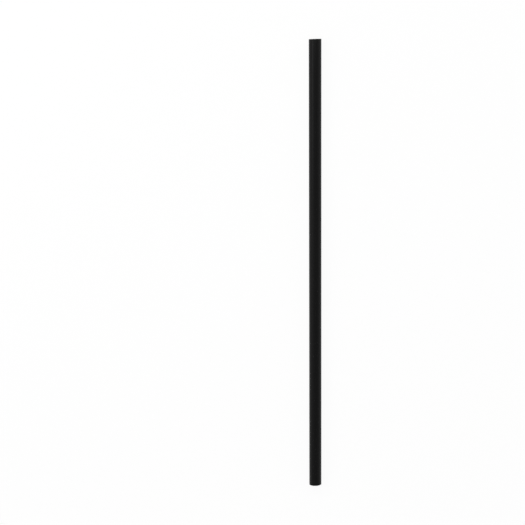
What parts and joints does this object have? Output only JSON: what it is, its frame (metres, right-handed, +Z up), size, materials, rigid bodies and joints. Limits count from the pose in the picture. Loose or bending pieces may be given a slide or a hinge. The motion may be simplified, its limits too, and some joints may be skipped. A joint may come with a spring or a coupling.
{
  "type": "reusable plastic drinking straw",
  "caption": "Straight reusable drinking straw: a thin-walled round black plastic tube, open right through, with square-cut ends whose edges are softened.",
  "frame": {"origin": "on the surface that the straw lies on, under the middle of its length", "axes": "+Y along the tube's axis towards the mouth end, +Z up from the surface, +X to the right when seen from above with the mouth end at the top"},
  "size_m": [0.006, 0.22, 0.006],
  "materials": {
    "black_polypropylene": "extruded polypropylene coloured black in the mass, with a satin skin and fine lines along the tube from the die"
  },
  "bodies": {
    "root": {"straw": "black_polypropylene"}
  },
  "joints": []
}
